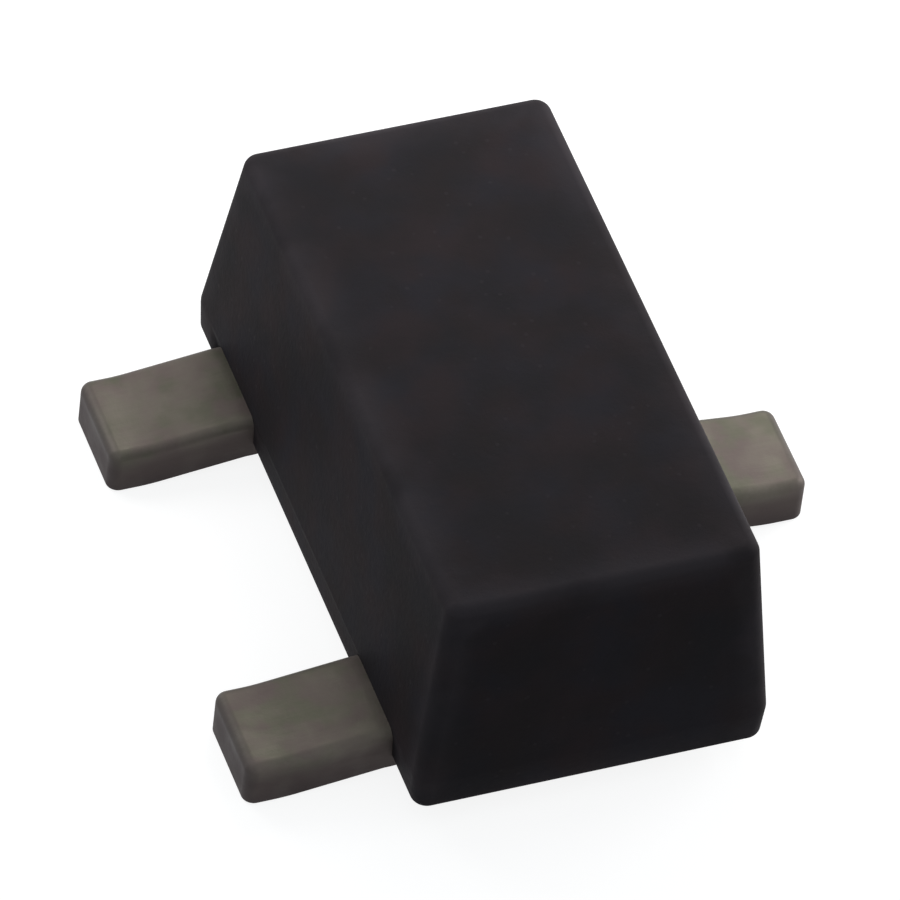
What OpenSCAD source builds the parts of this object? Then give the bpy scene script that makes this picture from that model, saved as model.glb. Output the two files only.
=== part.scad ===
// Three-lead surface-mount transistor with flat leads, in millimetres.
// +X points along the single collector lead, +Y along the body, +Z up from the board.
// The origin is the middle of the seating plane, under the feet of the leads.

/* [Moulded body] */
// Length of the body, along the side that carries two leads
body_l = 1.6; // [1.5:0.01:1.7]
// Width of the body at the parting line
body_w = 0.87; // [0.75:0.01:0.95]
// Height of the top face above the board
body_top = 0.68; // [0.6:0.01:0.8]
// Gap between the underside of the body and the board
standoff = 0.06; // [0.03:0.005:0.09]
// Draft of the walls above the parting line, in degrees
draft = 6; // [2:0.5:10]
// Draft of the walls below the parting line, in degrees
draft_low = 3; // [1:0.5:8]
// Height of the upright land at the parting line
parting_land = 0.01; // [0.004:0.001:0.02]
// Radius of the four upright corners at the parting line
corner_r = 0.04; // [0.035:0.005:0.08]
// Radius along the edges of the top face
top_edge_r = 0.032; // [0.015:0.001:0.038]
// Radius along the edges of the underside
bottom_edge_r = 0.02; // [0.01:0.005:0.03]

/* [Leads] */
// Width of each lead
lead_w = 0.26; // [0.2:0.01:0.3]
// Thickness of the lead frame
lead_t = 0.125; // [0.1:0.005:0.15]
// Distance between the two leads that share a side
lead_pitch = 1.0; // [0.9:0.01:1.1]
// Length of each lead outside the body
lead_out = 0.35; // [0.3:0.01:0.45]
// Straight length of a lead outside the body before it steps down
root_run = 0.005; // [0.005:0.005:0.03]
// Length over which a lead steps down
drop_run = 0.28; // [0.15:0.01:0.3]
// Height that a lead steps down by, from the body to its foot
lead_drop = 0.03; // [0.01:0.005:0.05]
// Inner radius of the bends in the lead frame inside the body
bend_in = 0.02; // [0.01:0.005:0.03]
// Radius of the two corners at the tip of a lead
tip_r = 0.03; // [0.01:0.005:0.05]

/* [Lead frame inside the body] */
// Height that the frame steps up by inside the body
upset = 0.13; // [0.11:0.005:0.16]
// Slope of the step inside the body, in degrees
upset_angle = 60; // [45:5:70]
// Straight length of a lead inside the body before it steps up
embed = 0.05; // [0.045:0.005:0.07]
// Gap punched between the die pad and the bond posts
frame_gap = 0.1; // [0.08:0.005:0.12]
// Length of the die pad
pad_len = 0.5; // [0.42:0.01:0.55]
// Length of each bond post
post_len = 0.14; // [0.1:0.01:0.16]
// How far a bond post reaches past its lead, to lock it in the moulding
post_ear = 0.07; // [0.04:0.005:0.09]
// Radius of the punched corners inside the body
punch_r = 0.02; // [0.01:0.005:0.03]

/* [Die] */
// Side of the square die
die_w = 0.3; // [0.25:0.01:0.36]
// Thickness of the die
die_t = 0.12; // [0.1:0.005:0.14]
// Thickness of the die attach layer
attach_t = 0.012; // [0.008:0.001:0.02]
// How far the die attach layer shows around the die
attach_lip = 0.012; // [0.004:0.001:0.02]
// Side of each square bond pad on the die
bond_pad = 0.085; // [0.07:0.005:0.1]
// Thickness of the bond pads' metal
bond_pad_t = 0.003; // [0.002:0.0005:0.005]

/* [Bond wires] */
// Diameter of the wire
wire_d = 0.025; // [0.018:0.001:0.03]
// Diameter of the squashed ball on the die
ball_d = 0.065; // [0.05:0.005:0.07]
// Height of the squashed ball
ball_h = 0.016; // [0.01:0.001:0.025]
// Height of the loop above the die's bond pads
loop_h = 0.1; // [0.07:0.005:0.12]
// Distance from the ball to the top of the loop
loop_back = 0.06; // [0.04:0.005:0.08]
// Length of the flattened stitch on the bond post
stitch_l = 0.045; // [0.03:0.005:0.06]
// Width of the stitch at its end
stitch_w = 0.045; // [0.03:0.005:0.06]
// Thickness of the stitch at its end
stitch_t = 0.01; // [0.006:0.001:0.014]

/* [Hidden] */

// Levels, from the board up. The mould parts at the top face of the leads.
parting_z = lead_drop + lead_t;
frame_z = lead_drop + upset;
frame_top = frame_z + lead_t;
die_z = frame_top + attach_t;
die_top = die_z + die_t;
bond_z = die_top + bond_pad_t;

// Stations along a lead, as distances out from the middle of the body. The step down has two
// wide bends, with their corners an eighth of its run from each end.
wall_u = body_w / 2;
tip_u = wall_u + lead_out;
root_u = wall_u + root_run;
foot_u = root_u + drop_run;
drop_corner = drop_run / 8;
drop_angle = atan(lead_drop / (drop_run - 2 * drop_corner));
drop_r = drop_corner / tan(drop_angle / 2);
jog_u = wall_u - embed;
rise_u = jog_u - upset / tan(upset_angle);
bend_r = bend_in + lead_t / 2;
flat_u = rise_u - bend_r * tan(upset_angle / 2);
post_u = flat_u - post_len;
pad_u = flat_u - pad_len;

// Places across the body
lead_y = lead_pitch / 2;
pad_w = lead_pitch - lead_w - 2 * frame_gap;
die_x = (flat_u + pad_u) / 2;
bond_y = die_w / 4;
stitch_x = -(flat_u + post_u) / 2;

// Outline of the squashed ball, as shares of its height and of its radius, and the neck's height
ball_outline = [[0, 0.86], [0.25, 1], [0.7, 1], [1, 0.62]];
neck_z = 1.5 * ball_h;

// Fineness of bends, punched corners, moulded edges and wires
bend_steps = 6;
round_fn = 24;
edge_steps = 6;
corner_steps = 6;
wire_sides = 12;
rise_steps = 6;
fall_steps = 12;
stitch_steps = 3;

mould_black = [0.15, 0.14, 0.15];
tin_grey = [0.62, 0.59, 0.56];
silicon_grey = [0.36, 0.37, 0.42];
solder_grey = [0.55, 0.56, 0.58];
gold = [0.86, 0.69, 0.28];

// Strip bent along a path

function unit(v) = v / norm(v);
function left_of(v) = [-v[1], v[0]];
function turned(v, a) = [v[0] * cos(a) - v[1] * sin(a), v[0] * sin(a) + v[1] * cos(a)];

// Arc of radius r round corner p of the path a, p, b, offset by d to the left of the path
function bend(a, p, b, r, d) =
    let (
        along = unit(p - a),
        hand = sign(cross(along, unit(b - p))),
        turn = acos(along * unit(b - p)),
        centre = p + r * (hand * left_of(along) - tan(turn / 2) * along)
    )
    [for (k = [0 : bend_steps])
        centre - (hand * r - d) * turned(left_of(along), hand * turn * k / bend_steps)];

// One side of a strip: the path with its corners bent to the radii given, offset by d to its left
function strip_side(path, radii, d) =
    let (last = len(path) - 1)
    [
        path[0] + d * left_of(unit(path[1] - path[0])),
        for (i = [1 : last - 1]) each bend(path[i - 1], path[i], path[i + 1], radii[i - 1], d),
        path[last] + d * left_of(unit(path[last] - path[last - 1]))
    ];

function reversed(list) = [for (i = [len(list) - 1 : -1 : 0]) list[i]];

// Section of a lead in the plane of its length: foot, step down, root and step up to end_u
function lead_section(end_u) =
    let (
        half = lead_t / 2,
        path = [
            [tip_u, half],
            [foot_u - drop_corner, half],
            [root_u + drop_corner, lead_drop + half],
            [jog_u, lead_drop + half],
            [rise_u, frame_z + half],
            [end_u, frame_z + half]
        ],
        radii = [drop_r, drop_r, bend_r, bend_r]
    )
    concat(strip_side(path, radii, half), reversed(strip_side(path, radii, -half)));

// Flat blank with rounded corners, from corner low to corner high
module blank(low, high, r) {
    size = high - low;
    translate(low + [r, 0]) square([size[0] - 2 * r, size[1]]);
    translate(low + [0, r]) square([size[0], size[1] - 2 * r]);
    for (x = [low[0] + r, high[0] - r], y = [low[1] + r, high[1] - r])
        translate([x, y]) circle(r = r, $fn = round_fn);
}

// Lead bent from its flat blank, which the child draws. It ends inside the body at end_u.
module bent_lead(end_u) {
    intersection() {
        translate([0, body_l / 2, 0])
            rotate([90, 0, 0])
                linear_extrude(body_l)
                    polygon(lead_section(end_u));
        linear_extrude(body_top) children();
    }
}

// Tongue of a lead from its tip to the flat of the frame
module tongue() {
    blank([flat_u - 2 * punch_r, -lead_w / 2], [tip_u, lead_w / 2], tip_r);
}

module collector_shape() {
    bent_lead(pad_u) {
        tongue();
        blank([pad_u, -pad_w / 2], [flat_u, pad_w / 2], punch_r);
    }
}

// Lead with a bond post. Its ear points to the side given: +1 for +Y, -1 for -Y.
module post_lead_shape(side) {
    translate([0, side * lead_y, 0])
        mirror([1, 0, 0])
            mirror([0, side < 0 ? 1 : 0, 0])
                bent_lead(post_u) {
                    tongue();
                    blank([post_u, -lead_w / 2], [flat_u, lead_w / 2 + post_ear], punch_r);
                }
}

module attach_shape() {
    side = die_w + 2 * attach_lip;
    translate([die_x - side / 2, -side / 2, frame_top]) cube([side, side, attach_t]);
}

module die_shape() {
    translate([die_x - die_w / 2, -die_w / 2, die_z]) cube([die_w, die_w, die_t]);
    for (side = [-1, 1])
        translate([die_x - bond_pad / 2, side * bond_y - bond_pad / 2, die_top])
            cube([bond_pad, bond_pad, bond_pad_t]);
}

// Stations of a bond wire: [distance from the ball, height above the bond pad, slope in
// degrees, half width, half thickness]. The wire ends at a distance span from the ball.
function wire_stations(span) =
    let (
        r = wire_d / 2,
        post = frame_top - bond_z,
        low = post + r,
        fall = span - stitch_l - loop_back
    )
    [
        for (b = ball_outline)
            [0, b[0] * ball_h, 90, b[1] * ball_d / 2, b[1] * ball_d / 2],
        for (k = [0 : rise_steps])
            let (a = 90 * k / rise_steps)
            [loop_back * (1 - cos(a)), neck_z + (loop_h - neck_z) * sin(a),
             atan2((loop_h - neck_z) * cos(a), loop_back * sin(a)), r, r],
        for (k = [1 : fall_steps])
            let (f = k / fall_steps)
            [loop_back + f * fall, low + (loop_h - low) * (1 + cos(180 * f)) / 2,
             atan2((low - loop_h) * PI / 2 * sin(180 * f), fall), r, r],
        for (k = [1 : stitch_steps])
            let (f = k / stitch_steps, half_t = r + f * (stitch_t / 2 - r))
            [span - stitch_l * (1 - f), post + half_t, 0, r + f * (stitch_w / 2 - r), half_t]
    ];

// Ring of points round the wire at one station, with a flat side towards the post
function wire_ring(s) =
    [for (k = [0 : wire_sides - 1])
        let (
            a = (k + 0.5) * 360 / wire_sides,
            grow = 1 / cos(180 / wire_sides),
            up = s[4] * grow * sin(a)
        )
        [s[0] - up * sin(s[2]), s[3] * grow * cos(a), s[1] + up * cos(s[2])]];

// Solid with a skin over the rings, which have equal numbers of points, and a cap at each end
module loft(rings) {
    last = len(rings) - 1;
    n = len(rings[0]);
    polyhedron(
        points = [for (ring = rings) each ring],
        faces = [
            [for (k = [0 : n - 1]) k],
            for (i = [0 : last - 1], k = [0 : n - 1])
                let (j = (k + 1) % n)
                [i * n + k, (i + 1) * n + k, (i + 1) * n + j, i * n + j],
            [for (k = [n - 1 : -1 : 0]) last * n + k]
        ]
    );
}

// Wire with its ball on the die and its stitch on a bond post, on the side given
module wire_shape(side) {
    ball = [die_x, side * bond_y];
    reach = [stitch_x, side * lead_y] - ball;
    translate([ball[0], ball[1], bond_z])
        rotate([0, 0, atan2(reach[1], reach[0])])
            loft([for (s = wire_stations(norm(reach) + stitch_l / 2)) wire_ring(s)]);
}

// Stations of the body form round one moulded edge, from a drafted wall that starts at land_z
// to the flat face at face_z: [inset from the body's outline, height, corner radius]
function edge_stations(r, slope, land_z, face_z) =
    let (
        up = sign(face_z - land_z),
        centre_z = face_z - up * r,
        centre_in = abs(centre_z - land_z) * tan(slope) + r / cos(slope)
    )
    [for (k = [0 : edge_steps])
        let (a = slope + (90 - slope) * k / edge_steps)
        [centre_in - r * cos(a), centre_z + up * r * sin(a), corner_r - r * (cos(slope) - cos(a))]];

// Ring of points round the body form at one station, a rectangle with rounded corners
function body_ring(s) =
    let (centre = [body_w / 2, body_l / 2] - (s[0] + s[2]) * [1, 1])
    [for (quarter = [0 : 3], k = [0 : corner_steps])
        let (
            a = 90 * (quarter + k / corner_steps),
            x = sign(cos(90 * quarter + 45)) * centre[0],
            y = sign(sin(90 * quarter + 45)) * centre[1]
        )
        [x + s[2] * cos(a), y + s[2] * sin(a), s[1]]];

// Outer form of the moulding: widest at the parting line, with drafted walls above and below
module body_form() {
    land_top = parting_z + parting_land / 2;
    land_low = parting_z - parting_land / 2;
    stations = [
        each reversed(edge_stations(bottom_edge_r, draft_low, land_low, standoff)),
        [0, land_low, corner_r],
        [0, land_top, corner_r],
        each edge_stations(top_edge_r, draft, land_top, body_top)
    ];
    loft([for (s = stations) body_ring(s)]);
}

// Sub-parts

module moulded_body() {
    color(mould_black)
        difference() {
            body_form();
            collector_shape();
            for (side = [-1, 1]) {
                post_lead_shape(side);
                wire_shape(side);
            }
            attach_shape();
            die_shape();
        }
}

module collector_lead() { color(tin_grey) collector_shape(); }
module base_lead() { color(tin_grey) post_lead_shape(1); }
module emitter_lead() { color(tin_grey) post_lead_shape(-1); }
module transistor_die() { color(silicon_grey) die_shape(); }
module die_attach() { color(solder_grey) attach_shape(); }
module base_bond_wire() { color(gold) wire_shape(1); }
module emitter_bond_wire() { color(gold) wire_shape(-1); }

moulded_body();
collector_lead();
base_lead();
emitter_lead();
transistor_die();
die_attach();
base_bond_wire();
emitter_bond_wire();
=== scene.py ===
"""Dresses a three-lead surface-mount transistor and sets it in a plain studio."""
import logging
import math
from bisect import bisect_right
from dataclasses import dataclass, field
from enum import Enum
from typing import Any, Optional, Sequence, Union

import bmesh
import bpy
from mathutils import Matrix, Quaternion, Vector


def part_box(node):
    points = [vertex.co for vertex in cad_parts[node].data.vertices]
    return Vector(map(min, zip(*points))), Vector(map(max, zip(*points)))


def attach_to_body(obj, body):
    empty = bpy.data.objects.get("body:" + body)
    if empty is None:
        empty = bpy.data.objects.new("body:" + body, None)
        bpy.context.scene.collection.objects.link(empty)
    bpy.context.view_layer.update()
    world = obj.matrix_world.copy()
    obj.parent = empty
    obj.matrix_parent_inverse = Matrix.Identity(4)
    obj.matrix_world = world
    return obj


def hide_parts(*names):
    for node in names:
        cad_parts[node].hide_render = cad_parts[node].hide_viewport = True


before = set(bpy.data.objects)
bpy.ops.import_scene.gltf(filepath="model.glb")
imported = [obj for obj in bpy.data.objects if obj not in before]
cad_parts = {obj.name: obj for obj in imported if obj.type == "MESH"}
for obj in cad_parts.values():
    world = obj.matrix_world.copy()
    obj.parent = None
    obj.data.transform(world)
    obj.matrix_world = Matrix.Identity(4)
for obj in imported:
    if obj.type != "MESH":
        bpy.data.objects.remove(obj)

log = logging.getLogger("transistor")

# Meshes are shaped in millimetres and stored in metres.
MM = 0.001
# Distance in millimetres within which two points are one.
WELD = 1e-5
# Distance in millimetres at which a cut takes a point as lying on it.
CUT_SNAP = 1e-6
# Decimals of a millimetre to which two cuts are the same.
CUT_DIGITS = 4
# Angle in degrees above which an edge keeps crisp shading.
SHARP_ANGLE = 40.0
# Corners of the body's outline.
CORNERS = 4
BODY = "root"

Colour = tuple[float, float, float]
Point2 = tuple[float, float]
Range = tuple[float, float]
Key = Union[int, str]


class Slot(Enum):
    """Material slots of the part's record."""

    MOULD_COMPOUND = "mould_compound"
    PLATED_LEAD = "plated_lead"
    SILICON = "silicon"
    DIE_ATTACH = "die_attach_solder"
    GOLD_WIRE = "gold_wire"


class Lead(Enum):
    """The three leads, by the name of their node."""

    COLLECTOR = "collector_lead"
    BASE = "base_lead"
    EMITTER = "emitter_lead"


class Mark(Enum):
    """Numbers kept on the points of a mesh for its finish to read."""

    RIM = "rim"
    WALL = "wall"
    DEPTH = "depth"
    TIP = "tip"


class Signal:
    """A value that a shader works out. Arithmetic on it adds Math nodes."""

    def __init__(self, graph: "ShaderGraph", socket: Optional[bpy.types.NodeSocket]) -> None:
        """Wraps an output socket of a graph. The graph's last node has none."""
        self.graph = graph
        self.socket = socket

    def _math(self, operation: str, first: "Feed", second: "Feed") -> "Signal":
        """Adds one Math node on two values."""
        return self.graph.add("ShaderNodeMath", {"operation": operation}, {0: first, 1: second})

    def __add__(self, other: "Feed") -> "Signal":
        """Adds a value."""
        return self._math("ADD", self, other)

    def __radd__(self, other: "Feed") -> "Signal":
        """Adds this to a value."""
        return self._math("ADD", other, self)

    def __sub__(self, other: "Feed") -> "Signal":
        """Takes a value away."""
        return self._math("SUBTRACT", self, other)

    def __rsub__(self, other: "Feed") -> "Signal":
        """Takes this away from a value."""
        return self._math("SUBTRACT", other, self)

    def __mul__(self, other: "Feed") -> "Signal":
        """Multiplies by a value."""
        return self._math("MULTIPLY", self, other)

    def __rmul__(self, other: "Feed") -> "Signal":
        """Multiplies a value by this."""
        return self._math("MULTIPLY", other, self)

    def largest(self, other: "Feed") -> "Signal":
        """Takes the larger of two values."""
        return self._math("MAXIMUM", self, other)

    def between(self, low: float, high: float) -> "Signal":
        """Gives a soft step from 0 at low to 1 at high."""
        settings = {"interpolation_type": "SMOOTHSTEP"}
        return self.graph.add("ShaderNodeMapRange", settings, {0: self, 1: low, 2: high})


Feed = Union[Signal, float, Sequence[float]]
Paint = Union[Signal, Colour]


class ShaderGraph:
    """A node tree that is filled from Python expressions."""

    def __init__(self, tree: bpy.types.NodeTree) -> None:
        """Empties a node tree to start from."""
        self.tree = tree
        tree.nodes.clear()

    def add(
        self,
        kind: str,
        settings: Optional[dict[str, Any]] = None,
        feeds: Optional[dict[Key, Feed]] = None,
        output: Key = 0,
    ) -> Signal:
        """Adds a node.

        Args:
            kind: Type of the node.
            settings: Properties, which are set first.
            feeds: Values or signals, by the name or number of the input.
            output: Name or number of the output to use.

        Returns:
            That output.
        """
        node = self.tree.nodes.new(kind)
        for name, value in (settings or {}).items():
            setattr(node, name, value)
        for key, value in (feeds or {}).items():
            if isinstance(value, Signal):
                self.tree.links.new(value.socket, node.inputs[key])
            else:
                node.inputs[key].default_value = value
        return Signal(self, node.outputs[output] if node.outputs else None)

    def place(self) -> Signal:
        """Gives the point on the object, in metres."""
        return self.add("ShaderNodeTexCoord", output="Object")

    def stretched(self, vector: Signal, scale: Sequence[float]) -> Signal:
        """Scales a vector along each axis."""
        return self.add("ShaderNodeVectorMath", {"operation": "MULTIPLY"}, {0: vector, 1: scale})

    def noise(self, vector: Signal, size: float, detail: float = 2.0, rough: float = 0.5) -> Signal:
        """Adds soft noise.

        Args:
            vector: Point to read it at.
            size: Size of its largest blotches, in millimetres.
            detail: Number of finer octaves.
            rough: Weight of each finer octave.

        Returns:
            A value around 0.5.
        """
        feeds = {"Vector": vector, "Scale": 1 / (size * MM), "Detail": detail, "Roughness": rough}
        return self.add("ShaderNodeTexNoise", None, feeds)

    def specks(self, vector: Signal, size: float) -> Signal:
        """Gives the distance to the nearest of many points, as a share of their spacing."""
        return self.add("ShaderNodeTexVoronoi", None, {"Vector": vector, "Scale": 1 / (size * MM)})

    def mark(self, name: Mark) -> Signal:
        """Reads a number that is kept on the points of the mesh."""
        return self.add("ShaderNodeAttribute", {"attribute_name": name.value}, output="Fac")

    def mix(self, share: Feed, first: Paint, second: Paint) -> Signal:
        """Blends from one colour to another.

        Args:
            share: Share of the second colour.
            first: Colour at 0.
            second: Colour at 1.

        Returns:
            The blended colour.
        """
        feeds = {0: share, 6: self._opaque(first), 7: self._opaque(second)}
        return self.add("ShaderNodeMix", {"data_type": "RGBA"}, feeds, 2)

    @staticmethod
    def _opaque(colour: Paint) -> Feed:
        """Gives a plain colour its alpha."""
        return colour if isinstance(colour, Signal) else (*colour, 1.0)

    def bump(self, height: Signal, depth: float) -> Signal:
        """Turns a height into a normal. The depth is what a height of 1 stands for, in millimetres."""
        feeds = {"Strength": 1.0, "Distance": depth * MM, "Height": height}
        return self.add("ShaderNodeBump", None, feeds)

    def surface(self, feeds: dict[Key, Feed]) -> None:
        """Ends the graph in one principled shader."""
        shader = self.add("ShaderNodeBsdfPrincipled", None, feeds)
        self.add("ShaderNodeOutputMaterial", None, {"Surface": shader})


def new_graph(name: str) -> tuple[bpy.types.Material, ShaderGraph]:
    """Makes an empty material.

    Args:
        name: Name of the material.

    Returns:
        The material and its graph.
    """
    material = bpy.data.materials.new(name)
    material.use_nodes = True
    return material, ShaderGraph(material.node_tree)


@dataclass(frozen=True)
class MouldCompound:
    """Matt black epoxy: a fine spark-eroded grain, pale filler specks and a painted highlight along its
    rounded edges.

    Sizes and depths are in millimetres. A share is the weight of one pattern in a blend.
    """

    deep: Colour = (0.0135, 0.0124, 0.0131)
    warm: Colour = (0.0243, 0.0184, 0.0205)
    cool: Colour = (0.0198, 0.0184, 0.0230)
    # Pale colour of the painted highlight along the rounded edges and corners; the pale filler specks
    # take it too.
    edge_highlight: Colour = (0.0405, 0.0353, 0.0396)
    specular: float = 0.05
    roughness: float = 0.64
    grain_roughness: float = 0.16
    rubbed_polish: float = 0.08
    cloud_size: float = 0.22
    cloud_range: Range = (0.35, 0.65)
    cloud_share: float = 0.5
    tint_size: float = 0.14
    tint_range: Range = (0.32, 0.68)
    tint_least: float = 0.12
    grain_size: float = 0.016
    grain_share: float = 0.5
    grain_depth: float = 0.0008
    speck_size: float = 0.045
    speck_range: Range = (0.06, 0.16)
    speck_share: float = 0.25
    speck_height: float = 0.2
    # Least weight of the painted edge highlight, and how much the clouds add to it.
    highlight_least: float = 0.35
    highlight_clouds: float = 0.5

    def material(self) -> bpy.types.Material:
        """Builds the finish.

        Returns:
            The material.
        """
        material, graph = new_graph("mould_compound")
        place = graph.place()
        clouds = graph.noise(place, self.cloud_size, detail=4).between(*self.cloud_range)
        tint = graph.noise(place, self.tint_size, detail=2).between(*self.tint_range)
        grain = graph.noise(place, self.grain_size, detail=3, rough=0.6)
        specks = 1 - graph.specks(place, self.speck_size).between(*self.speck_range)
        # Painted highlight along the rounded edges, weighted by the rim mark and uneven with the clouds;
        # it also lowers the roughness a little.
        highlight_weight = self.highlight_least + clouds * self.highlight_clouds
        edge_highlight = graph.mark(Mark.RIM).between(0.0, 1.0) * highlight_weight
        tinted = clouds * self.cloud_share + grain * self.grain_share + self.tint_least
        body = graph.mix(tinted, self.deep, graph.mix(tint, self.warm, self.cool))
        # The painted edge highlight and the pale filler specks share one pale colour.
        colour = graph.mix(edge_highlight.largest(specks * self.speck_share), body, self.edge_highlight)
        graph.surface(
            {
                "Base Color": colour,
                "Roughness": self.roughness + grain * self.grain_roughness - edge_highlight * self.rubbed_polish,
                "Specular IOR Level": self.specular,
                "Normal": graph.bump(grain + specks * self.speck_height, self.grain_depth),
            }
        )
        return material


@dataclass(frozen=True)
class TinPlating:
    """Dull tin on stamped copper alloy: mottled tops, rolled rims with some burnish and a painted
    highlight, sheared walls with painted shade towards their bottoms, dark cut tips.

    Sizes and depths are in millimetres. A share is the weight of one pattern in a blend.
    """

    olive: Colour = (0.0765, 0.0790, 0.0544)
    mauve: Colour = (0.1003, 0.0774, 0.0748)
    pale: Colour = (0.1343, 0.1182, 0.1003)
    # Pale colour of the rolled rims: partly burnish, partly a painted highlight.
    burnish_and_highlight: Colour = (0.1870, 0.1700, 0.1530)
    sheared: Colour = (0.0870, 0.0668, 0.0645)
    # Dark colour of the cut tips, also used for the painted shade low on the walls.
    cut_tip_and_low_shade: Colour = (0.0448, 0.0344, 0.0360)
    metallic: float = 0.5
    cut_dulling: float = 0.6
    torn_dulling: float = 0.3
    specular: float = 0.2
    roughness: float = 0.42
    mottle_roughness: float = 0.08
    torn_roughness: float = 0.15
    rim_roughness: float = 0.08
    mottle_size: float = 0.08
    mottle_range: Range = (0.38, 0.62)
    stain_size: float = 0.11
    stain_range: Range = (0.35, 0.65)
    stain_share: float = 0.5
    grain_size: float = 0.012
    grain_share: float = 0.25
    grain_height: float = 0.6
    grain_depth: float = 0.0007
    line_size: float = 0.010
    line_stretch: float = 14.0
    line_share: float = 0.25
    line_height: float = 0.4
    torn_range: Range = (0.0, 0.5)
    torn_share: float = 0.8
    # Painted shade: walls darker towards their bottoms, near the floor.
    low_shade_range: Range = (0.45, 1.0)
    low_shade_share: float = 0.6
    cut_share: float = 0.8
    rim_least: float = 0.1
    rim_grain: float = 0.2

    def material(self) -> bpy.types.Material:
        """Builds the finish.

        Returns:
            The material.
        """
        material, graph = new_graph("plated_lead")
        place = graph.place()
        along = graph.stretched(place, (1 / self.line_stretch, 1.0, 1.0))
        mottle = graph.noise(place, self.mottle_size, detail=3).between(*self.mottle_range)
        stain = graph.noise(place, self.stain_size, detail=2).between(*self.stain_range)
        grain = graph.noise(place, self.grain_size, detail=2, rough=0.6)
        lines = graph.noise(along, self.line_size, detail=1)
        rim = graph.mark(Mark.RIM)
        wall = graph.mark(Mark.WALL)
        depth = graph.mark(Mark.DEPTH)
        torn = wall * depth.between(*self.torn_range)
        # Painted shade darkening the lower part of every wall, towards the floor.
        low_wall_shade = wall * depth.between(*self.low_shade_range)
        cut = wall * graph.mark(Mark.TIP)
        tint = graph.mix(mottle, self.olive, self.mauve)
        paleness = stain * self.stain_share + lines * self.line_share + grain * self.grain_share
        flat = graph.mix(paleness, tint, self.pale)
        sheared = graph.mix(torn * self.torn_share, flat, self.sheared)
        # The cut tips and the painted shade low on the walls share one dark colour.
        dark = (cut * self.cut_share).largest(low_wall_shade * self.low_shade_share)
        walls = graph.mix(dark, sheared, self.cut_tip_and_low_shade)
        # Rolled rims partly burnished and partly a painted highlight, over the walls and tops.
        colour = graph.mix(rim * (self.rim_least + grain * self.rim_grain), walls, self.burnish_and_highlight)
        rougher = mottle * self.mottle_roughness + torn * self.torn_roughness + rim * self.rim_roughness
        relief = grain * self.grain_height + lines * self.line_height
        graph.surface(
            {
                "Base Color": colour,
                "Metallic": self.metallic * (1 - cut * self.cut_dulling - torn * self.torn_dulling),
                "Roughness": self.roughness + rougher,
                "Specular IOR Level": self.specular,
                "Normal": graph.bump(relief, self.grain_depth),
            }
        )
        return material


@dataclass(frozen=True)
class Silicon:
    """Polished silicon with aluminium bond pads on its top face."""

    colour: Colour = (0.060, 0.062, 0.078)
    pale: Colour = (0.095, 0.098, 0.120)
    pad: Colour = (0.62, 0.63, 0.64)
    pad_range: Range = (0.0005, 0.001)
    metallic: float = 0.4
    pad_metallic: float = 0.6
    roughness: float = 0.12
    tone_roughness: float = 0.2
    cell_size: float = 0.03

    def material(self, pad_z: float) -> bpy.types.Material:
        """Builds the finish.

        Args:
            pad_z: Height of the top of the die under its pads, in millimetres.

        Returns:
            The material.
        """
        material, graph = new_graph("silicon")
        place = graph.place()
        height = graph.add("ShaderNodeSeparateXYZ", None, {0: place}, "Z")
        pads = height.between(*((pad_z + above) * MM for above in self.pad_range))
        tone = graph.noise(place, self.cell_size, detail=2)
        graph.surface(
            {
                "Base Color": graph.mix(pads, graph.mix(tone, self.colour, self.pale), self.pad),
                "Metallic": self.metallic + pads * self.pad_metallic,
                "Roughness": self.roughness + tone * self.tone_roughness,
            }
        )
        return material


@dataclass(frozen=True)
class BareMetal:
    """A plain metal with a fine grain, for the pieces inside the moulding."""

    name: str
    colour: Colour
    pale: Colour
    roughness: float
    grain_size: float
    grain_depth: float
    grain_roughness: float = 0.15

    def material(self) -> bpy.types.Material:
        """Builds the finish.

        Returns:
            The material.
        """
        material, graph = new_graph(self.name)
        grain = graph.noise(graph.place(), self.grain_size, detail=3)
        graph.surface(
            {
                "Base Color": graph.mix(grain, self.colour, self.pale),
                "Metallic": 1.0,
                "Roughness": self.roughness + grain * self.grain_roughness,
                "Normal": graph.bump(grain, self.grain_depth),
            }
        )
        return material


SOLDER = BareMetal("die_attach_solder", (0.24, 0.25, 0.27), (0.34, 0.35, 0.36), 0.45, 0.01, 0.0006)
GOLD = BareMetal("gold_wire", (0.70, 0.42, 0.06), (0.80, 0.52, 0.10), 0.2, 0.006, 0.0002)


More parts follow.
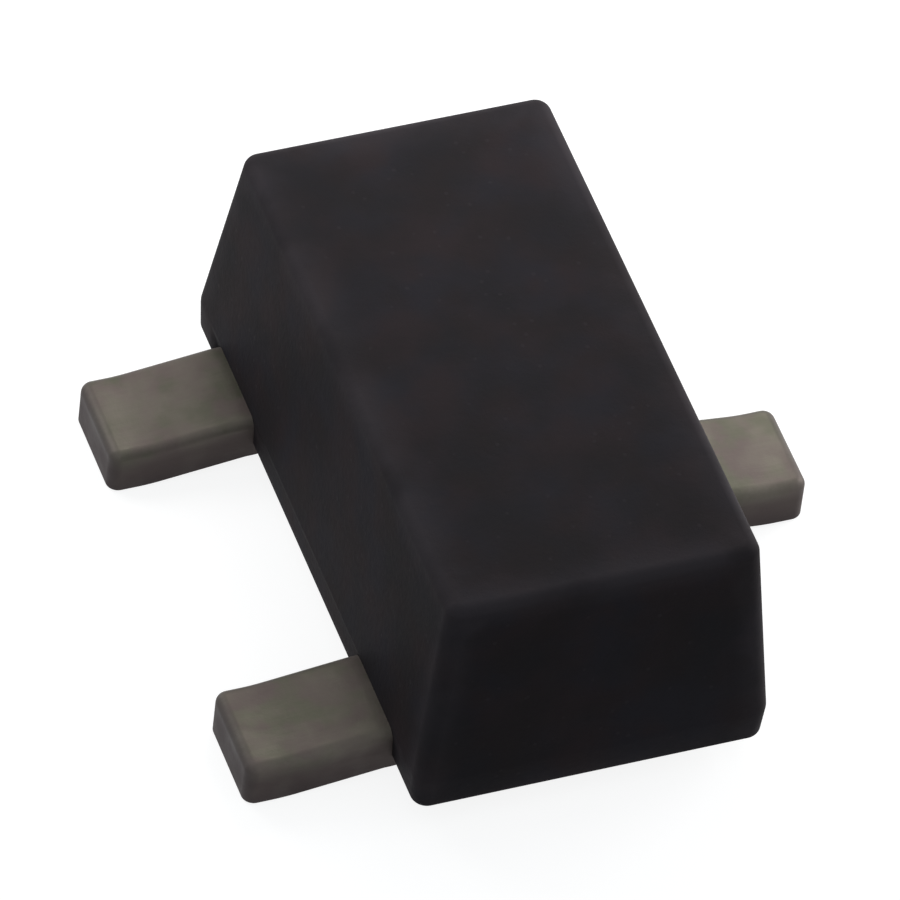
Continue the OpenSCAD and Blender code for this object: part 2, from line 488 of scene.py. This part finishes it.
@dataclass
class MeshSketch:
    """A closed mesh under construction, in millimetres, with marks on its points."""

    bm: bmesh.types.BMesh = field(default_factory=bmesh.new)

    def layer(self, mark: Mark) -> bmesh.types.BMLayerItem:
        """Gives the layer that holds a mark."""
        layers = self.bm.verts.layers.float
        return layers.get(mark.value) or layers.new(mark.value)

    def ring(
        self, points: Sequence[Vector], marks: dict[Mark, Sequence[float]]
    ) -> list[bmesh.types.BMVert]:
        """Adds a ring of points.

        Args:
            points: Places of the points.
            marks: Marks, with a value for each point.

        Returns:
            The new points.
        """
        layers = {mark: self.layer(mark) for mark in marks}
        verts = [self.bm.verts.new(point) for point in points]
        for mark, values in marks.items():
            for vert, value in zip(verts, values):
                vert[layers[mark]] = value
        return verts

    def loft(self, rings: Sequence[Sequence[bmesh.types.BMVert]]) -> None:
        """Skins rings and caps both ends.

        Args:
            rings: Rings with equal numbers of points, in order.
        """
        for low, high in zip(rings, rings[1:]):
            count = len(low)
            for k in range(count):
                j = (k + 1) % count
                self.bm.faces.new((low[k], low[j], high[j], high[k]))
        self.bm.faces.new(list(reversed(rings[0])))
        self.bm.faces.new(rings[-1])

    def to_object(self, name: str) -> bpy.types.Object:
        """Turns the sketch into an object, still in millimetres.

        Args:
            name: Name of the object.

        Returns:
            The object, linked to the scene.
        """
        bmesh.ops.recalc_face_normals(self.bm, faces=self.bm.faces[:])
        mesh = bpy.data.meshes.new(name)
        self.bm.to_mesh(mesh)
        self.bm.free()
        piece = bpy.data.objects.new(name, mesh)
        bpy.context.scene.collection.objects.link(piece)
        return piece


def arc(centre: Point2, radius: float, start: float, end: float, steps: int) -> list[Point2]:
    """Gives points along an arc.

    Args:
        centre: Centre of the arc.
        radius: Its radius.
        start: Angle of the first point, in degrees.
        end: Angle of the last point, in degrees.
        steps: Number of straight steps.

    Returns:
        The points, both ends included.
    """
    angles = [math.radians(start + (end - start) * k / steps) for k in range(steps + 1)]
    return [(centre[0] + radius * math.cos(a), centre[1] + radius * math.sin(a)) for a in angles]


def weld(mesh: bpy.types.Mesh) -> None:
    """Joins points that lie on top of each other.

    Args:
        mesh: Mesh in millimetres, which is changed.
    """
    bm = bmesh.new()
    bm.from_mesh(mesh)
    bmesh.ops.remove_doubles(bm, verts=bm.verts[:], dist=WELD)
    bm.to_mesh(mesh)
    bm.free()


def finish_mesh(mesh: bpy.types.Mesh) -> None:
    """Turns a mesh from millimetres into metres and softens its shading.

    Args:
        mesh: Mesh, which is changed.
    """
    mesh.transform(Matrix.Scale(MM, 4))
    mesh.shade_smooth()
    mesh.set_sharp_from_angle(angle=math.radians(SHARP_ANGLE))


def dress(piece: bpy.types.Object, material: bpy.types.Material) -> None:
    """Gives a piece its only material.

    Args:
        piece: Piece to dress.
        material: Its material.
    """
    piece.data.materials.clear()
    piece.data.materials.append(material)


def node_box(node: str) -> tuple[Vector, Vector]:
    """Gives the lowest and highest corner of a node, in millimetres."""
    low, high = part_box(node)
    return low / MM, high / MM


@dataclass
class LeadFrame:
    """The stamped and bent leads, in millimetres and degrees.

    Distances out from the middle of the body are called u.
    """

    width: float = 0.26
    thickness: float = 0.125
    wall_u: float = 0.435
    root_run: float = 0.005
    drop_run: float = 0.28
    root_bend: float = 0.01
    foot_bend: float = 0.03
    drop: float = 0.03
    upset: float = 0.13
    upset_angle: float = 60.0
    embed: float = 0.05
    bend_in: float = 0.02
    tip_r: float = 0.03
    punch_r: float = 0.03
    roll_r: float = 0.025
    burr_r: float = 0.008
    edge_steps: int = 12
    bend_steps: int = 10
    support: float = 0.002

    @property
    def bend_r(self) -> float:
        """Radius of the middle of the strip in the bends of the upset."""
        return self.bend_in + self.thickness / 2

    @property
    def rise_u(self) -> float:
        """Place of the upper corner of the upset."""
        return self.wall_u - self.embed - self.upset / math.tan(math.radians(self.upset_angle))

    @property
    def flat_u(self) -> float:
        """Place where the flat of the frame starts, past the upset."""
        return self.rise_u - self.bend_r * math.tan(math.radians(self.upset_angle / 2))

    def side(self, tip_u: float, end_u: float, offset: float) -> list[Point2]:
        """Traces one side of the bent strip.

        Args:
            tip_u: Place of the tip.
            end_u: Place of the inner end.
            offset: Height above the middle of the strip.

        Returns:
            Points (u, height), by rising u.
        """
        half = self.thickness / 2
        root_u = self.wall_u + self.root_run
        slope = math.atan(self.drop / (self.drop_run - self.root_bend - self.foot_bend))
        root_r, foot_r = (bend / math.tan(slope / 2) for bend in (self.root_bend, self.foot_bend))
        path = [
            Vector((end_u, self.drop + self.upset + half)),
            Vector((self.rise_u, self.drop + self.upset + half)),
            Vector((self.wall_u - self.embed, self.drop + half)),
            Vector((root_u + self.root_bend, self.drop + half)),
            Vector((root_u + self.drop_run - self.foot_bend, half)),
            Vector((tip_u, half)),
        ]
        radii = (self.bend_r, self.bend_r, root_r, foot_r)
        points = [(path[0].x, path[0].y + offset)]
        for before, here, after, radius in zip(path, path[1:], path[2:], radii):
            points += self._bend(before, here, after, radius, offset)
        return points + [(path[-1].x, path[-1].y + offset)]

    def _bend(
        self, before: Vector, here: Vector, after: Vector, radius: float, offset: float
    ) -> list[Point2]:
        """Rounds one corner of the strip's path.

        Args:
            before: Point before the corner.
            here: The corner.
            after: Point after it.
            radius: Radius of the middle of the strip.
            offset: Height above the middle of the strip.

        Returns:
            Points (u, height) along the rounded corner.
        """
        along = (here - before).normalized()
        onward = (after - here).normalized()
        left = Vector((-along.y, along.x))
        hand = math.copysign(1.0, along.x * onward.y - along.y * onward.x)
        turn = along.angle(onward)
        centre = here + radius * (hand * left - math.tan(turn / 2) * along)
        points = []
        for k in range(self.bend_steps + 1):
            angle = hand * turn * k / self.bend_steps
            spoke = Vector((
                left.x * math.cos(angle) - left.y * math.sin(angle),
                left.x * math.sin(angle) + left.y * math.cos(angle),
            ))
            point = centre - (hand * radius - offset) * spoke
            points.append((point.x, point.y))
        return points

    def outline(self, tip_u: float, end_u: float, low_y: float, high_y: float) -> list[Point2]:
        """Traces the flat blank of a lead, anticlockwise.

        Args:
            tip_u: Place of the tip.
            end_u: Place of the inner end.
            low_y: Lower edge of the plate inside the body, across the lead.
            high_y: Upper edge of that plate.

        Returns:
            Points (u, y) round the blank.
        """
        half, r, p, n = self.width / 2, self.tip_r, self.punch_r, self.edge_steps
        points = arc((tip_u - r, r - half), r, -90, 0, n) + arc((tip_u - r, half - r), r, 0, 90, n)
        if high_y > half + p:
            points += [(self.flat_u, half)] + arc((self.flat_u - p, high_y - p), p, 0, 90, n)
        points += arc((end_u + p, high_y - p), p, 90, 180, n)
        points += arc((end_u + p, low_y + p), p, 180, 270, n)
        if low_y < -half - p:
            points += arc((self.flat_u - p, low_y + p), p, 270, 360, n) + [(self.flat_u, -half)]
        return points

    @staticmethod
    def inset(outline: Sequence[Point2], distance: float) -> list[Point2]:
        """Moves an anticlockwise outline inwards.

        Args:
            outline: Points (u, y).
            distance: How far it moves.

        Returns:
            As many points, moved.
        """
        moved = []
        count = len(outline)
        for k in range(count):
            here = Vector(outline[k])
            edges = (here - Vector(outline[k - 1]), Vector(outline[(k + 1) % count]) - here)
            first, second = (Vector((-e.y, e.x)).normalized() for e in edges)
            shift = (first + second) / (1 + first.dot(second))
            moved.append(tuple(here + distance * shift))
        return moved

    def sections(self) -> list[tuple[float, float, dict[Mark, float]]]:
        """Lists the levels of the flat blank.

        Returns:
            Inset from the outline, height and marks of each level, from the underside up.
        """
        levels = [(self.burr_r + self.support, 0.0, 0.0, 0.0)]
        for k in range(self.edge_steps + 1):
            a = math.radians(90 - 90 * k / self.edge_steps)
            levels.append((
                self.burr_r * (1 - math.cos(a)), self.burr_r * (1 - math.sin(a)), 0.0, math.cos(a)
            ))
        for k in range(self.edge_steps + 1):
            a = math.radians(90 * k / self.edge_steps)
            height = self.thickness - self.roll_r * (1 - math.sin(a))
            levels.append((self.roll_r * (1 - math.cos(a)), height, math.sin(2 * a), math.cos(a)))
        levels.append((self.roll_r + self.support, self.thickness, 0.0, 0.0))
        thick = self.thickness
        return [
            (inset, height, {Mark.RIM: rim, Mark.WALL: wall, Mark.DEPTH: 1 - height / thick})
            for inset, height, rim, wall in levels
        ]

    def build(self, lead: Lead) -> bpy.types.Object:
        """Stamps and bends one lead.

        Args:
            lead: Which lead.

        Returns:
            The lead in its place, in millimetres.
        """
        low, high = node_box(lead.value)
        out = 1 if lead is Lead.COLLECTOR else -1
        across = -1 if lead is Lead.EMITTER else 1
        tip_u, end_u = (high.x, low.x) if out > 0 else (-low.x, -high.x)
        if lead is Lead.COLLECTOR:
            middle, low_y, high_y = 0.0, low.y, high.y
        else:
            middle = across * (low.y if across > 0 else high.y) + self.width / 2
            low_y, high_y = -self.width / 2, high.y - low.y - self.width / 2
        sketch = MeshSketch()
        blank = self.outline(tip_u, end_u, low_y, high_y)
        rings = []
        tip = [max(0.0, 1 - (tip_u - u) / self.tip_r) for u, _ in blank]
        for inset, height, level in self.sections():
            points = [Vector((u, y, height)) for u, y in self.inset(blank, inset)]
            marks = {mark: [value] * len(blank) for mark, value in level.items()}
            rings.append(sketch.ring(points, {**marks, Mark.TIP: tip}))
        sketch.loft(rings)
        self._bend_blank(sketch.bm, tip_u, end_u)
        place = Matrix.Diagonal((out, across, 1.0, 1.0))
        place.translation = (0.0, across * middle, 0.0)
        bmesh.ops.transform(sketch.bm, matrix=place, verts=sketch.bm.verts[:])
        return sketch.to_object(f"{lead.value}_plated")

    def _bend_blank(self, bm: bmesh.types.BMesh, tip_u: float, end_u: float) -> None:
        """Bends a flat blank along the path of its lead.

        Args:
            bm: Mesh of the flat blank, which is changed.
            tip_u: Place of the tip.
            end_u: Place of the inner end.
        """
        half = self.thickness / 2
        under = self.side(tip_u, end_u, -half)
        over = self.side(tip_u, end_u, half)
        for u in sorted({round(point[0], CUT_DIGITS) for point in under[1:-1] + over[1:-1]}):
            everything = bm.verts[:] + bm.edges[:] + bm.faces[:]
            bmesh.ops.bisect_plane(
                bm, geom=everything, dist=CUT_SNAP, plane_co=(u, 0, 0), plane_no=(1, 0, 0)
            )
        for vert in bm.verts:
            bottom = height_at(under, vert.co.x)
            top = height_at(over, vert.co.x)
            vert.co.z = bottom + (top - bottom) * vert.co.z / self.thickness


def height_at(line: Sequence[Point2], u: float) -> float:
    """Reads a height off a line.

    Args:
        line: Points (u, height) by rising u.
        u: Where to read it.

    Returns:
        The height there.
    """
    k = min(max(bisect_right([point[0] for point in line], u), 1), len(line) - 1)
    (u0, z0), (u1, z1) = line[k - 1], line[k]
    return z0 + (z1 - z0) * (u - u0) / (u1 - u0)


@dataclass
class Moulding:
    """The moulded body, with drafted walls and rounded edges, cast round the lead frame.

    Sizes are in millimetres and degrees. The fades are how far the painted highlight of an edge reaches.
    """

    node: str = "moulded_body"
    parting_z: float = 0.155
    land: float = 0.01
    draft: float = 6.0
    draft_low: float = 3.0
    corner_r: float = 0.04
    top_edge_r: float = 0.032
    bottom_edge_r: float = 0.02
    edge_steps: int = 10
    corner_steps: int = 10
    fade: float = 0.06
    face_fade: float = 0.10
    # Least painted highlight in the upright corners and at the ends of the edge arcs.
    corner_highlight: float = 0.6
    arc_end_highlight: float = 0.5

    def edge(
        self, radius: float, slope: float, land_z: float, face_z: float
    ) -> list[tuple[float, ...]]:
        """Rounds a drafted wall into a flat face.

        Args:
            radius: Radius of the edge.
            slope: Draft of the wall, in degrees.
            land_z: Height at which the wall starts.
            face_z: Height of the flat face.

        Returns:
            Levels (inset from the outline, height, corner radius, rim mark), from the wall on.
        """
        up = math.copysign(1.0, face_z - land_z)
        tilt = math.radians(slope)
        centre_z = face_z - up * radius
        centre_in = abs(centre_z - land_z) * math.tan(tilt) + radius / math.cos(tilt)
        levels = []
        for k in range(self.edge_steps + 1):
            a = tilt + (math.pi / 2 - tilt) * k / self.edge_steps
            sunk = radius * (math.cos(tilt) - math.cos(a))
            # Rim mark that sets the painted edge highlight: highest mid-arc, least at the arc's ends.
            rim = self.arc_end_highlight + (1 - self.arc_end_highlight) * math.sin(math.pi * k / self.edge_steps)
            levels.append((centre_in - radius * math.cos(a), centre_z + up * radius * math.sin(a),
                           self.corner_r - sunk, rim))
        before = levels[0]
        foot = before[1] - up * self.fade
        wall = (before[0] - self.fade * math.tan(tilt), foot, before[2], 0.0)
        inner = (levels[-1][0] + self.face_fade, face_z, levels[-1][2], 0.0)
        return [wall] + levels + [inner]

    def ring(
        self, low: Vector, high: Vector, inset: float, z: float, radius: float
    ) -> list[Vector]:
        """Traces the body at one level, anticlockwise.

        Args:
            low: Lowest corner of the body.
            high: Highest corner.
            inset: Distance in from the outline at the parting line.
            z: Height of the level.
            radius: Radius of the upright corners there.

        Returns:
            Points round a rectangle with rounded corners and a point to each side of a corner.
        """
        edge = inset + radius
        corners = ((high.x - edge, high.y - edge), (low.x + edge, high.y - edge),
                   (low.x + edge, low.y + edge), (high.x - edge, low.y + edge))
        sides = (Vector((0.0, 1.0)), Vector((-1.0, 0.0)), Vector((0.0, -1.0)), Vector((1.0, 0.0)))
        points = []
        for k, centre in enumerate(corners):
            turn = arc(centre, radius, 90 * k, 90 * (k + 1), self.corner_steps)
            before = Vector(turn[0]) - self.fade * sides[k]
            after = Vector(turn[-1]) + self.fade * sides[(k + 1) % len(sides)]
            points += [before, *turn, after]
        return [Vector((x, y, z)) for x, y in points]

    def rims(self, rim: float, corner: float) -> list[float]:
        """Gives the rim mark of each point of a ring: `rim`, and at least `corner` in its corners."""
        worn = max(rim, corner)
        return ([rim] + [worn] * (self.corner_steps + 1) + [rim]) * CORNERS

    def build(self, inserts: Sequence[bpy.types.Object]) -> bpy.types.Object:
        """Casts the body round its inserts.

        Args:
            inserts: Closed pieces inside it, in millimetres.

        Returns:
            The body in its place, in millimetres.
        """
        low, high = node_box(self.node)
        land_low, land_top = self.parting_z - self.land / 2, self.parting_z + self.land / 2
        levels = list(reversed(self.edge(self.bottom_edge_r, self.draft_low, land_low, low.z)))
        levels += [(0.0, land_low, self.corner_r, 0.0), (0.0, land_top, self.corner_r, 0.0)]
        levels += self.edge(self.top_edge_r, self.draft, land_top, high.z)
        # Least painted highlight in the upright corners, at every level but the first and last.
        highlight_weight = [0.0] + [self.corner_highlight] * (len(levels) - 2) + [0.0]
        sketch = MeshSketch()
        sketch.loft([
            sketch.ring(self.ring(low, high, inset, z, radius), {Mark.RIM: self.rims(rim, corner)})
            for (inset, z, radius, rim), corner in zip(levels, highlight_weight)
        ])
        body = sketch.to_object(f"{self.node}_cast")
        self._make_room(body, inserts)
        return body

    @staticmethod
    def _make_room(body: bpy.types.Object, inserts: Sequence[bpy.types.Object]) -> None:
        """Takes the room of the inserts out of the body.

        Args:
            body: The body, which is changed.
            inserts: Closed pieces inside it.
        """
        group = bpy.data.collections.new("inserts")
        for insert in inserts:
            group.objects.link(insert)
        cut = body.modifiers.new("room", "BOOLEAN")
        cut.operation = "DIFFERENCE"
        cut.operand_type = "COLLECTION"
        cut.collection = group
        cut.solver = "EXACT"
        graph = bpy.context.evaluated_depsgraph_get()
        mesh = bpy.data.meshes.new_from_object(body.evaluated_get(graph))
        weld(mesh)
        body.modifiers.clear()
        body.data = mesh
        bpy.data.collections.remove(group)


@dataclass
class DieStack:
    """The die, its attach layer and its two bond wires, which keep their own solids."""

    die: str = "transistor_die"
    attach: str = "die_attach"
    wires: tuple[str, ...] = ("base_bond_wire", "emitter_bond_wire")
    pad_t: float = 0.003

    def copies(self) -> list[bpy.types.Object]:
        """Copies the pieces for the moulding to make room for.

        Returns:
            Closed copies, in millimetres.
        """
        made = []
        for name in (self.die, self.attach, *self.wires):
            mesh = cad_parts[name].data.copy()
            mesh.transform(Matrix.Scale(1 / MM, 4))
            weld(mesh)
            piece = bpy.data.objects.new(f"{name}_room", mesh)
            bpy.context.scene.collection.objects.link(piece)
            made.append(piece)
        return made

    def dress(self) -> list[bpy.types.Object]:
        """Gives the pieces their finishes.

        Returns:
            The dressed pieces.
        """
        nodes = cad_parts
        top = node_box(self.die)[1].z - self.pad_t
        dress(nodes[self.die], Silicon().material(top))
        dress(nodes[self.attach], SOLDER.material())
        gold = GOLD.material()
        for wire in self.wires:
            dress(nodes[wire], gold)
        return [nodes[name] for name in (self.die, self.attach, *self.wires)]


@dataclass(frozen=True)
class Softbox:
    """A square lamp. Its side and its distance away from what it faces are in millimetres."""

    name: str
    away: tuple[float, float, float]
    side: float
    light: float
    colour: Colour = (1.0, 0.965, 0.94)

    def hang(self, aim: Vector) -> None:
        """Hangs the lamp.

        Args:
            aim: Point it faces, in millimetres. It gives a white page there the brightness `light`.
        """
        away = Vector(self.away)
        lamp = bpy.data.lights.new(self.name, "AREA")
        lamp.shape = "SQUARE"
        lamp.size = self.side * MM
        lamp.energy = self.light * math.pi ** 2 * ((away.length * MM) ** 2 + lamp.size ** 2 / 4)
        lamp.color = self.colour
        holder = bpy.data.objects.new(self.name, lamp)
        holder.location = (aim + away) * MM
        holder.visible_camera = False
        holder.rotation_mode = "QUATERNION"
        holder.rotation_quaternion = (-away).to_track_quat("-Z", "Y")
        bpy.context.scene.collection.objects.link(holder)


LAMPS = (
    Softbox("back_lamp", (0.4, 1.7, 1.1), 0.9, 0.10),
    Softbox("left_lamp", (-1.8, 1.6, 1.2), 1.2, 0.20),
    Softbox("right_lamp", (1.6, 2.2, 2.0), 1.6, 0.21),
    Softbox("top_lamp", (0.3, 1.4, 2.2), 0.8, 0.18),
    Softbox("side_lamp", (3.2, 0.3, 0.8), 1.5, 0.50),
)


@dataclass
class Studio:
    """A white floor, soft lamps and the camera at the photograph's angle, in millimetres."""

    middle: Vector = field(default_factory=lambda: Vector((0.0, 0.0, 0.3)))
    floor_side: float = 400.0
    floor_gap: float = 0.001
    floor_colour: Colour = (0.30, 0.30, 0.30)
    floor_glow: float = 0.86
    room_light: float = 0.45
    room_colour: Colour = (0.92, 1.0, 1.05)
    camera_place: Vector = field(default_factory=lambda: Vector((-7.966, -17.104, 21.051)))
    camera_facing: Vector = field(default_factory=lambda: Vector((0.2814, 0.6113, -0.7397)))
    camera_roll: float = 7.25
    focal_length: float = 480.0
    sensor: float = 36.0

    @staticmethod
    def _seen(graph: ShaderGraph) -> Signal:
        """Tells which rays see the background plainly, mirrored or through glass.

        Args:
            graph: Graph that asks.

        Returns:
            1 for such rays and 0 for the others.
        """
        camera, glossy, through = (
            graph.add("ShaderNodeLightPath", output=name)
            for name in ("Is Camera Ray", "Is Glossy Ray", "Is Transmission Ray")
        )
        return camera.largest(glossy).largest(through)

    def lay_floor(self) -> None:
        """Lays the floor."""
        half = self.floor_side * MM / 2
        corners = [(-half, -half, 0), (half, -half, 0), (half, half, 0), (-half, half, 0)]
        mesh = bpy.data.meshes.new("floor")
        mesh.from_pydata(corners, [], [(0, 1, 2, 3)])
        floor = bpy.data.objects.new("floor", mesh)
        floor.location.z = -self.floor_gap * MM
        bpy.context.scene.collection.objects.link(floor)
        material, graph = new_graph("white_floor")
        paper = graph.add("ShaderNodeBsdfDiffuse", None, {"Color": (*self.floor_colour, 1.0)})
        glow = graph.add("ShaderNodeEmission", None, {"Strength": self.floor_glow})
        lit = graph.add("ShaderNodeAddShader", None, {0: paper, 1: glow})
        both = graph.add("ShaderNodeMixShader", None, {0: self._seen(graph), 1: paper, 2: lit})
        graph.add("ShaderNodeOutputMaterial", None, {"Surface": both})
        mesh.materials.append(material)

    def light(self) -> None:
        """Hangs the lamps and lights the room."""
        for lamp in LAMPS:
            lamp.hang(self.middle)
        world = bpy.data.worlds.new("room")
        bpy.context.scene.world = world
        world.use_nodes = True
        graph = ShaderGraph(world.node_tree)
        tinted = {"Color": (*self.room_colour, 1.0), "Strength": self.room_light}
        dim = graph.add("ShaderNodeBackground", None, tinted)
        white = graph.add("ShaderNodeBackground", None, {"Color": (1.0, 1.0, 1.0, 1.0), "Strength": 1.0})
        both = graph.add("ShaderNodeMixShader", None, {0: self._seen(graph), 1: dim, 2: white})
        graph.add("ShaderNodeOutputWorld", None, {"Surface": both})

    def set_camera(self) -> None:
        """Sets the camera where the photograph was taken from."""
        data = bpy.data.cameras.new("camera")
        data.lens = self.focal_length
        data.sensor_width = self.sensor
        data.clip_start = MM
        data.clip_end = self.floor_side * MM
        camera = bpy.data.objects.new("camera", data)
        camera.location = self.camera_place * MM
        camera.rotation_mode = "QUATERNION"
        level = self.camera_facing.to_track_quat("-Z", "Y")
        camera.rotation_quaternion = level @ Quaternion((0, 0, 1), math.radians(self.camera_roll))
        bpy.context.scene.collection.objects.link(camera)
        bpy.context.scene.camera = camera
        bpy.context.scene.view_settings.view_transform = "Standard"


def main() -> None:
    """Builds the transistor piece by piece, dresses it and sets the studio."""
    logging.basicConfig(level=logging.INFO, format="%(name)s: %(message)s")
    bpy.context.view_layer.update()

    lead_frame = LeadFrame()
    leads = {lead: lead_frame.build(lead) for lead in Lead}
    stack = DieStack()
    copies = stack.copies()
    moulding = Moulding()
    body = moulding.build([*leads.values(), *copies])
    for copy in copies:
        bpy.data.objects.remove(copy)

    tin = TinPlating().material()
    for lead, piece in leads.items():
        finish_mesh(piece.data)
        dress(piece, tin)
        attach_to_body(piece, BODY)
        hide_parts(lead.value)
        log.info("%s: %d faces", piece.name, len(piece.data.polygons))
    finish_mesh(body.data)
    dress(body, MouldCompound().material())
    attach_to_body(body, BODY)
    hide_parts(moulding.node)
    log.info("%s: %d faces", body.name, len(body.data.polygons))
    for piece in stack.dress():
        log.info("%s: dressed", piece.name)

    studio = Studio()
    studio.lay_floor()
    studio.light()
    studio.set_camera()
    log.info("studio set")


if __name__ == "__main__":
    main()
